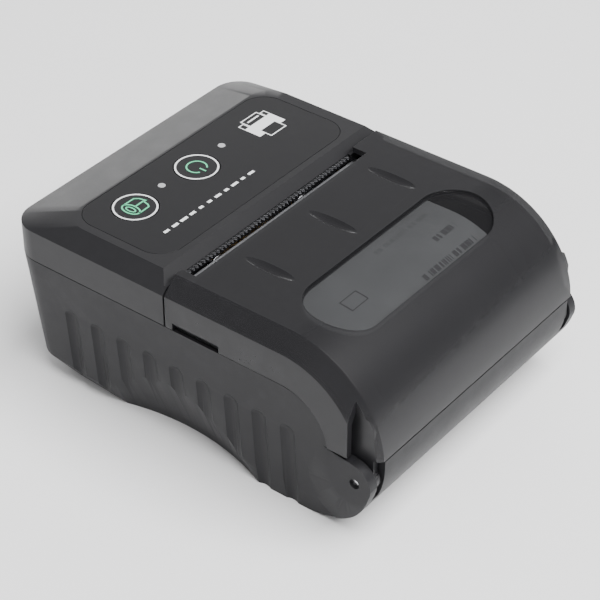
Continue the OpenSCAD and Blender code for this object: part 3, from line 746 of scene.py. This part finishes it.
def stroke(points, width, closed=False):
    """Quads that follow a line of points with that width, with mitred corners."""
    count = len(points)
    sides = []
    for i, (x, y) in enumerate(points):
        before = Vector(points[i - 1]) if i or closed else None
        after = Vector(points[(i + 1) % count]) if i + 1 < count or closed else None
        here = Vector((x, y))
        first = (here - before).normalized() if before is not None else (after - here).normalized()
        second = (after - here).normalized() if after is not None else first
        normal = Vector((-(first + second).y, (first + second).x)).normalized()
        reach = width / 2 / max(0.4, abs(normal.dot(Vector((-first.y, first.x)))))
        sides.append((here + normal * reach, here - normal * reach))
    last = count if closed else count - 1
    ends = [(sides[i], sides[(i + 1) % count]) for i in range(last)]
    return [[near[1], far[1], far[0], near[0]] for near, far in ends]


def arc(centre, rx, ry, start, end, steps):
    """Points on part of an ellipse, from one angle to another in degrees."""
    turn = (end - start) / steps
    angles = [math.radians(start + turn * i) for i in range(steps + 1)]
    return [(centre[0] + rx * math.cos(a), centre[1] + ry * math.sin(a)) for a in angles]


def loop(centre, rx, ry, steps):
    return arc(centre, rx, ry, 0, 360, steps)[:-1]


def box_outline(x0, y0, x1, y1):
    return [(x0, y0), (x1, y0), (x1, y1), (x0, y1)]


def moved(outlines, centre):
    return [[(x + centre[0], y + centre[1]) for x, y in outline] for outline in outlines]


def print_piece(name, body, outlines, finish):
    """A print in ink: thin closed solids that stand a little above the film."""
    ink = bpy.context.scene.printer_sizes.ink_height
    work = bmesh.new()
    for outline in outlines:
        prism(work, outline, TOP_Z - ink, TOP_Z + ink)
    bmesh.ops.recalc_face_normals(work, faces=work.faces)
    mesh = bpy.data.meshes.new(name)
    work.to_mesh(mesh)
    work.free()
    return link_piece(name, mesh, body, finish)


# ---------- geometry node trees ----------


def new_tree(name, inputs):
    tree = bpy.data.node_groups.new(name, "GeometryNodeTree")
    tree.interface.new_socket("Geometry", in_out="OUTPUT", socket_type="NodeSocketGeometry")
    for label, kind, default in inputs:
        socket = tree.interface.new_socket(label, in_out="INPUT", socket_type="NodeSocket" + kind)
        if default is not None:
            socket.default_value = default
    return tree, tree.nodes.new("NodeGroupInput"), tree.nodes.new("NodeGroupOutput")


def end_tree(tree, gin, gout, geometry):
    """Every tree ends in real geometry with its material."""
    real = node(tree, "GeometryNodeRealizeInstances", i0=geometry)
    painted = node(tree, "GeometryNodeSetMaterial", i0=real.outputs[0], Material=gin.outputs["Material"])
    tree.links.new(painted.outputs[0], gout.inputs[0])


def dash_tree():
    """A row of dashes along X whose lengths vary by a fixed seed."""
    tree, gin, gout = new_tree(
        "Row of dashes",
        [
            ("Count", "Int", 11),
            ("Start", "Vector", (0.0, 0.0, 0.0)),
            ("Step", "Float", 2.6 * MM),
            ("Dash Height", "Float", 0.6 * MM),
            ("Thickness", "Float", 0.05 * MM),
            ("Seed", "Int", 4),
            ("Material", "Material", None),
        ],
    )
    step = node(tree, "ShaderNodeCombineXYZ", X=gin.outputs["Step"])
    points = node(
        tree,
        "GeometryNodeMeshLine",
        Count=gin.outputs["Count"],
        Start_Location=gin.outputs["Start"],
        Offset=step.outputs[0],
    )
    size = node(
        tree,
        "ShaderNodeCombineXYZ",
        X=gin.outputs["Step"],
        Y=gin.outputs["Dash Height"],
        Z=gin.outputs["Thickness"],
    )
    dash = node(tree, "GeometryNodeMeshCube", Size=size.outputs[0])
    length = node(
        tree, "FunctionNodeRandomValue", {"data_type": "FLOAT"}, i2=0.35, i3=0.8, Seed=gin.outputs["Seed"]
    )
    scale = node(tree, "ShaderNodeCombineXYZ", X=length.outputs[1], Y=1.0, Z=1.0)
    row = node(
        tree,
        "GeometryNodeInstanceOnPoints",
        Points=points.outputs[0],
        Instance=dash.outputs[0],
        Scale=scale.outputs[0],
    )
    end_tree(tree, gin, gout, row.outputs[0])
    return tree


def spring_tree():
    """Two compression springs along Y, side by side."""
    tree, gin, gout = new_tree(
        "Pair of springs",
        [
            ("Turns", "Float", 5.0),
            ("Radius", "Float", 2.0 * MM),
            ("Wire Radius", "Float", 0.25 * MM),
            ("Length", "Float", 6.0 * MM),
            ("First", "Vector", (0.0, 0.0, 0.0)),
            ("Distance", "Float", 30.0 * MM),
            ("Material", "Material", None),
        ],
    )
    helix = node(
        tree,
        "GeometryNodeCurveSpiral",
        Resolution=28,
        Rotations=gin.outputs["Turns"],
        Start_Radius=gin.outputs["Radius"],
        End_Radius=gin.outputs["Radius"],
        Height=gin.outputs["Length"],
    )
    wire = node(tree, "GeometryNodeCurvePrimitiveCircle", Resolution=10, Radius=gin.outputs["Wire Radius"])
    coil = node(
        tree, "GeometryNodeCurveToMesh", i0=helix.outputs[0], Profile_Curve=wire.outputs[0], Fill_Caps=True
    )
    turned = node(tree, "GeometryNodeTransform", i0=coil.outputs[0], Rotation=(math.radians(-90), 0.0, 0.0))
    step = node(tree, "ShaderNodeCombineXYZ", X=gin.outputs["Distance"])
    points = node(
        tree, "GeometryNodeMeshLine", Count=2, Start_Location=gin.outputs["First"], Offset=step.outputs[0]
    )
    pair = node(tree, "GeometryNodeInstanceOnPoints", Points=points.outputs[0], Instance=turned.outputs[0])
    real = node(tree, "GeometryNodeRealizeInstances", i0=pair.outputs[0])
    smooth = node(tree, "GeometryNodeSetShadeSmooth", i0=real.outputs[0])
    end_tree(tree, gin, gout, smooth.outputs[0])
    return tree


def grown_piece(name, tree, values, body, finish):
    """The plain mesh that a tree makes with those inputs."""
    holder = bpy.data.meshes.new(name)
    obj = bpy.data.objects.new(name, holder)
    bpy.context.scene.collection.objects.link(obj)
    modifier = obj.modifiers.new("Nodes", "NODES")
    modifier.node_group = tree
    names = {s.name: s.identifier for s in tree.interface.items_tree if s.in_out == "INPUT"}
    for key, value in values.items():
        modifier[names[key]] = value
    modifier[names["Material"]] = finish_of(finish)
    plain_mesh(obj)
    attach(obj, body)
    return obj


# ---------- one operator for each piece or group of like pieces ----------


class PrinterStep:
    """Rounds the frame nodes in its rows, and then builds what else the step has."""

    bl_options = {"REGISTER"}
    rows = ()

    def execute(self, context):
        rounded_pieces(self.rows)
        self.build(context.scene)
        return {"FINISHED"}

    def build(self, scene):
        pass


class PRINTER_OT_case(PrinterStep, bpy.types.Operator):
    """Build the bottom case and the top cover"""

    bl_idname = "printer.case"
    bl_label = "Case"

    def build(self, scene):
        rounding = scene.printer_sizes.shell_round / MM
        rounded_pieces([("bottom_case", rounding), ("top_cover", rounding)])


class PRINTER_OT_lid(PrinterStep, bpy.types.Operator):
    """Build the smoked lid with its roller carrier, bushings and label"""

    bl_idname = "printer.lid"
    bl_label = "Lid"

    def build(self, scene):
        rounding = scene.printer_sizes.shell_round / MM
        rounded_pieces([("paper_lid", rounding), ("platen_carrier", 0.2), ("platen_bushings", 0.15)])
        label = rounded_piece("info_label", 0)
        mapped = label.data.uv_layers.new(name="label_map")
        centre_y = LID_ROUND_C[0] * MM
        centre_z = LID_ROUND_C[1] * MM
        for corner in label.data.loops:
            x, y, z = label.data.vertices[corner.vertex_index].co
            along = y - centre_y
            if along > 0:
                along = math.atan2(along, z - centre_z) * LABEL_R * MM
            mapped.data[corner.index].uv = (x, along)


class PRINTER_OT_panel(PrinterStep, bpy.types.Operator):
    """Build the panel overlay with its pictogram and caption marks"""

    bl_idname = "printer.panel"
    bl_label = "Panel"

    rows = (("panel_overlay", 0.08), ("light_pipes", 0.12))

    def build(self, scene):
        sizes = scene.printer_sizes
        pictogram = [box_outline(*corners) for corners in PICTOGRAM_BOXES]
        for points, width in PICTOGRAM_LINES:
            pictogram += stroke(points, width)
        print_piece("panel_pictogram", "case", moved(pictogram, PICTOGRAM_C), "white_ink")
        marks = sizes.caption_marks
        step = (CAPTION_X[1] - CAPTION_X[0]) / (marks - 1)
        grown_piece(
            "panel_caption",
            dash_tree(),
            {
                "Count": marks,
                "Start": (CAPTION_X[0] * MM, CAPTION_Y * MM, TOP_Z),
                "Step": step * MM,
                "Dash Height": CAPTION_DASH * MM,
                "Thickness": 2 * sizes.ink_height,
                "Seed": CAPTION_SEED,
            },
            "case",
            "white_ink",
        )


class PRINTER_OT_buttons(PrinterStep, bpy.types.Operator):
    """Build the two button caps with their rings and symbols"""

    bl_idname = "printer.buttons"
    bl_label = "Buttons"

    rows = (("feed_button", 0.12), ("power_button", 0.12))

    def build(self, scene):
        sizes = scene.printer_sizes
        ring_r = sizes.ring_radius / MM
        ring = stroke(loop((0, 0), ring_r, ring_r, ROUND_STEPS), sizes.ring_width / MM, closed=True)
        line = sizes.symbol_width / MM
        roll = stroke(loop(ROLL_END, *ROLL_END_RADII, SYMBOL_STEPS), line, closed=True)
        roll += stroke(loop(ROLL_CORE, *ROLL_CORE_RADII, CORE_STEPS), line * ROLL_CORE_LINE, closed=True)
        for points in ROLL_LINES:
            roll += stroke(points, line)
        power = stroke(arc((0, 0), POWER_RADIUS, POWER_RADIUS, *POWER_ARC, SYMBOL_STEPS), line)
        power += stroke(POWER_BAR, line)
        for body, centre, symbol in (("feed_key", FEED_C, roll), ("power_key", POWER_C, power)):
            stem = body.replace("_key", "_button")
            print_piece(stem + "_ring", body, moved(ring, centre), "white_ink")
            print_piece(stem + "_symbol", body, moved(symbol, centre), "symbol_ink")


class PRINTER_OT_cutter(PrinterStep, bpy.types.Operator):
    """Build the serrated tear bar"""

    bl_idname = "printer.cutter"
    bl_label = "Tear bar"

    rows = (("tear_bar", 0.05),)


class PRINTER_OT_mechanism(PrinterStep, bpy.types.Operator):
    """Build the print mechanism: frame, head, motor, gears and platen"""

    bl_idname = "printer.mechanism"
    bl_label = "Print mechanism"

    rows = (
        ("mech_frame", 0.12),
        ("print_head", 0.1),
        ("head_heat_sink", 0.1),
        ("stepper_motor", 0.3),
        ("motor_shaft", 0.1),
        ("motor_pinion", 0.08),
        ("idler_gear", 0.1),
        ("idler_axle", 0.12),
        ("platen_gear", 0.1),
        ("platen_shaft", 0.2),
        ("platen_roller", 0.25),
        ("hinge_pins", 0.15),
        ("paper_sensor", 0.1),
        ("motor_screws", 0.15),
    )


class PRINTER_OT_springs(PrinterStep, bpy.types.Operator):
    """Build the two springs behind the print head"""

    bl_idname = "printer.springs"
    bl_label = "Head springs"

    def build(self, scene):
        low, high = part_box("head_springs")
        wire = SPRING_WIRE
        radius = (high.z - low.z) / 2 - wire
        springs = grown_piece(
            "head_springs_piece",
            spring_tree(),
            {
                "Turns": SPRING_TURNS,
                "Radius": radius,
                "Wire Radius": wire,
                "Length": high.y - low.y - 2 * wire,
                "First": (low.x + radius + wire, low.y + wire, (low.z + high.z) / 2),
                "Distance": high.x - low.x - 2 * (radius + wire),
            },
            "case",
            "spring_steel",
        )
        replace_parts(springs, "head_springs")


class PRINTER_OT_electronics(PrinterStep, bpy.types.Operator):
    """Build the board with its switches, lamps and sockets, and the battery"""

    bl_idname = "printer.electronics"
    bl_label = "Electronics"

    rows = (
        ("main_board", 0.08),
        ("key_switches", 0.12),
        ("indicator_leds", 0.08),
        ("charge_socket", 0.08),
        ("flex_socket", 0.1),
        ("head_flex", 0),
        ("battery_pack", 0.3),
    )


class PRINTER_OT_bay(PrinterStep, bpy.types.Operator):
    """Build the paper bay and the screws"""

    bl_idname = "printer.bay"
    bl_label = "Paper bay and screws"

    rows = (("paper_bay", 0.2), ("case_screws", 0.15), ("board_screws", 0.12))


class PRINTER_OT_stage(PrinterStep, bpy.types.Operator):
    """Build the floor, the lights and the camera"""

    bl_idname = "printer.stage"
    bl_label = "Stage"

    def build(self, scene):
        self.floor(scene.printer_colours.floor)
        for name, place, size, power in LIGHTS:
            light = bpy.data.lights.new(name, "AREA")
            light.shape = "RECTANGLE"
            light.size, light.size_y = size
            light.energy = power
            self.aim(name, light, place, LIGHT_TARGET)
        world = bpy.data.worlds.new("pale_room")
        world.use_nodes = True
        background = world.node_tree.nodes["Background"]
        background.inputs["Color"].default_value = (1.0, 1.0, 1.0, 1.0)
        background.inputs["Strength"].default_value = ROOM_STRENGTH
        scene.world = world
        camera = bpy.data.cameras.new("camera")
        camera.lens = CAMERA_LENS
        camera.clip_start = CAMERA_NEAR
        scene.camera = self.aim("camera", camera, CAMERA_PLACE, CAMERA_TARGET)

    def aim(self, name, data, place, target):
        """A light or camera at that place, turned to the target."""
        obj = bpy.data.objects.new(name, data)
        bpy.context.scene.collection.objects.link(obj)
        obj.location = place
        obj.rotation_euler = (Vector(target) - Vector(place)).to_track_quat("-Z", "Y").to_euler()
        return obj

    def floor(self, colour):
        half = FLOOR_HALF
        mesh = bpy.data.meshes.new("floor")
        corners = [(-half, -half, 0.0), (half, -half, 0.0), (half, half, 0.0), (-half, half, 0.0)]
        mesh.from_pydata(corners, [], [(0, 1, 2, 3)])
        floor = bpy.data.objects.new("floor", mesh)
        bpy.context.scene.collection.objects.link(floor)
        mesh.materials.append(moulded("floor_paper", colour, 900.0, 0.6, 0.05, 0.01, 0.0, 0.02))


STEPS = (
    PRINTER_OT_case,
    PRINTER_OT_lid,
    PRINTER_OT_panel,
    PRINTER_OT_buttons,
    PRINTER_OT_cutter,
    PRINTER_OT_mechanism,
    PRINTER_OT_springs,
    PRINTER_OT_electronics,
    PRINTER_OT_bay,
    PRINTER_OT_stage,
)


class PRINTER_PT_looks(bpy.types.Panel):
    """Lists the steps that build the printer's looks"""

    bl_label = "Receipt printer"
    bl_idname = "PRINTER_PT_looks"
    bl_space_type = "VIEW_3D"
    bl_region_type = "UI"
    bl_category = "Printer"

    def draw(self, context):
        layout = self.layout
        for group in (context.scene.printer_sizes, context.scene.printer_colours):
            for key in group.bl_rna.properties.keys():
                if key not in ("name", "rna_type"):
                    layout.prop(group, key)
        for step in STEPS:
            layout.operator(step.bl_idname)


CLASSES = (PrinterSizes, PrinterColours, *STEPS, PRINTER_PT_looks)


def register():
    for cls in CLASSES:
        bpy.utils.register_class(cls)
    bpy.types.Scene.printer_sizes = bpy.props.PointerProperty(type=PrinterSizes)
    bpy.types.Scene.printer_colours = bpy.props.PointerProperty(type=PrinterColours)


def unregister():
    del bpy.types.Scene.printer_colours
    del bpy.types.Scene.printer_sizes
    for cls in reversed(CLASSES):
        bpy.utils.unregister_class(cls)


def main():
    register()
    for step in STEPS:
        family, name = step.bl_idname.split(".")
        getattr(getattr(bpy.ops, family), name)()


if __name__ == "__main__":
    main()
